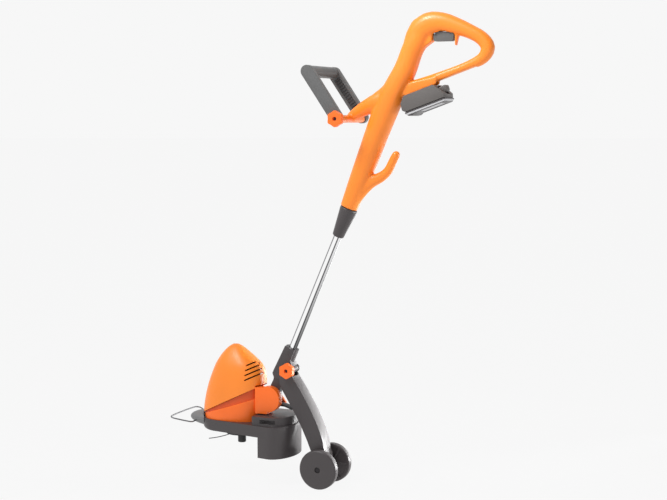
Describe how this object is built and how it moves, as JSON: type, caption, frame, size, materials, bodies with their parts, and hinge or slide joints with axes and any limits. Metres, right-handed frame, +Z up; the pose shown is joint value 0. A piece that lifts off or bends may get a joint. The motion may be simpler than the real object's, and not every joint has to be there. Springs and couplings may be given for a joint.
{
  "type": "lawn edger",
  "caption": "Cordless wheeled lawn edger and trimmer: loop handle with battery, telescoping chrome shaft, assist handle, folding wheel arm and tilting motor head with guard.",
  "frame": {"origin": "middle of the rear loop grip, where the hand holds the tool", "axes": "+Z up when the wheels stand level, +X to the user's rear, +Y across the tool towards its right side"},
  "size_m": [0.7639, 0.1769, 1.0636],
  "materials": {
    "orange_shell": "semi-gloss moulded",
    "dark_shell": "fine texture",
    "mid_grey": "fine texture",
    "chrome": "polished",
    "steel": "machined",
    "black_plastic": "matt",
    "soft_grip": "ribbed rubber",
    "battery_shell": "fine texture",
    "contact_brass": "plated",
    "cell_wrap": "sleeve",
    "lead_red": "insulation",
    "bobbin_white": "moulded",
    "line_nylon": "nylon"
  },
  "bodies": {
    "housing": {"housing_left": "orange_shell", "housing_right": "orange_shell", "housing_screws": "steel", "switch_body": "black_plastic", "handle_leads": "lead_red", "terminal_block": "black_plastic", "tube_bush": "black_plastic", "trigger_pin": "steel"},
    "trigger": {"trigger": "mid_grey"},
    "battery": {"battery_case": "battery_shell", "battery_lid": "dark_shell", "battery_cells": "cell_wrap", "battery_contacts": "contact_brass"},
    "battery_latch": {"battery_latch": "black_plastic"},
    "assist": {"assist_frame": "dark_shell", "assist_pads": "soft_grip", "assist_nut": "black_plastic"},
    "assist_knob": {"assist_knob": "orange_shell", "assist_bolt": "steel"},
    "collar": {"lock_collar": "dark_shell"},
    "shaft": {"shaft_tube": "chrome", "tube_plug": "black_plastic", "shaft_lead": "black_plastic", "yoke": "dark_shell", "yoke_screws": "steel"},
    "clamp_knob": {"clamp_knob": "orange_shell", "clamp_bolt": "steel"},
    "wheel_arm": {"wheel_arm": "dark_shell", "clamp_nut": "mid_grey", "axle": "steel"},
    "wheel_left": {"wheel_left": "dark_shell"},
    "wheel_right": {"wheel_right": "dark_shell"},
    "head": {"motor_cover": "orange_shell", "motor_base": "orange_shell", "pivot_drum": "orange_shell", "pivot_pin": "steel", "motor_can": "steel", "motor_cap": "black_plastic", "guard": "dark_shell", "guard_screws": "steel", "guard_nose": "mid_grey", "line_cutter": "steel", "pedal_pin": "steel"},
    "tilt_pedal": {"tilt_pedal": "black_plastic"},
    "spindle": {"drive_shaft": "steel", "motor_fan": "black_plastic", "spool_cup": "black_plastic", "spool_bobbin": "bobbin_white", "line_wound": "line_nylon", "line_tail": "line_nylon", "spool_cap": "black_plastic"},
    "bump_knob": {"bump_knob": "black_plastic", "bump_spring": "steel"},
    "wire_guard": {"wire_guard": "chrome"}
  },
  "joints": [
    {"name": "trigger_pull", "type": "hinge", "parent": "housing", "child": "trigger", "pos_m": [-0.017, 0, -0.012], "axis": [0, -1, 0], "range_deg": [0, 6], "stiffness_Nm_per_rad": 0.4, "springref_deg": -14.32},
    {"name": "battery_slide", "type": "slide", "parent": "housing", "child": "battery", "axis": [0.9415, 0, 0.3371], "range_m": [0, 0.06]},
    {"name": "latch_press", "type": "slide", "parent": "battery", "child": "battery_latch", "axis": [0.3371, 0, -0.9415], "range_m": [0, 0.0035], "stiffness_N_per_m": 600, "springref_m": -0.002},
    {"name": "assist_tilt", "type": "hinge", "parent": "housing", "child": "assist", "pos_m": [-0.2155, 0, -0.194], "axis": [0, 1, 0], "range_deg": [-60, 30]},
    {"name": "assist_knob_turn", "type": "hinge", "parent": "assist", "child": "assist_knob", "pos_m": [-0.2155, 0, -0.194], "axis": [0, -1, 0], "continuous": true},
    {"name": "collar_twist", "type": "hinge", "parent": "housing", "child": "collar", "pos_m": [-0.23319, 0, -0.42445], "axis": [0.3955, 0, 0.9184], "range_deg": [0, 90]},
    {"name": "shaft_extend", "type": "slide", "parent": "housing", "child": "shaft", "axis": [-0.3955, 0, -0.9184], "range_m": [0, 0.09]},
    {"name": "clamp_knob_turn", "type": "hinge", "parent": "wheel_arm", "child": "clamp_knob", "pos_m": [-0.36024, 0, -0.76497], "axis": [0, -1, 0], "continuous": true},
    {"name": "wheel_arm_fold", "type": "hinge", "parent": "shaft", "child": "wheel_arm", "pos_m": [-0.36024, 0, -0.76497], "axis": [0, -1, 0], "range_deg": [0, 75]},
    {"name": "wheel_left_roll", "type": "hinge", "parent": "wheel_arm", "child": "wheel_left", "pos_m": [-0.277, -0.0395, -0.983], "axis": [0, 1, 0], "continuous": true},
    {"name": "wheel_right_roll", "type": "hinge", "parent": "wheel_arm", "child": "wheel_right", "pos_m": [-0.277, 0.0395, -0.983], "axis": [0, 1, 0], "continuous": true},
    {"name": "head_tilt", "type": "hinge", "parent": "shaft", "child": "head", "pos_m": [-0.41, 0, -0.835], "axis": [0, 1, 0], "range_deg": [-5, 9]},
    {"name": "pedal_press", "type": "hinge", "parent": "head", "child": "tilt_pedal", "pos_m": [-0.3865, 0, -0.849], "axis": [0, 1, 0], "range_deg": [0, 12], "stiffness_Nm_per_rad": 0.3, "springref_deg": -14.32},
    {"name": "spindle_spin", "type": "hinge", "parent": "head", "child": "spindle", "pos_m": [-0.491, 0, -0.918], "axis": [0, 0, 1], "continuous": true},
    {"name": "bump_press", "type": "slide", "parent": "spindle", "child": "bump_knob", "axis": [0, 0, 1], "range_m": [0, 0.004], "stiffness_N_per_m": 500, "springref_m": -0.002},
    {"name": "wire_guard_flip", "type": "hinge", "parent": "head", "child": "wire_guard", "pos_m": [-0.599, 0, -0.9], "axis": [0, 1, 0], "range_deg": [0, 80]}
  ]
}
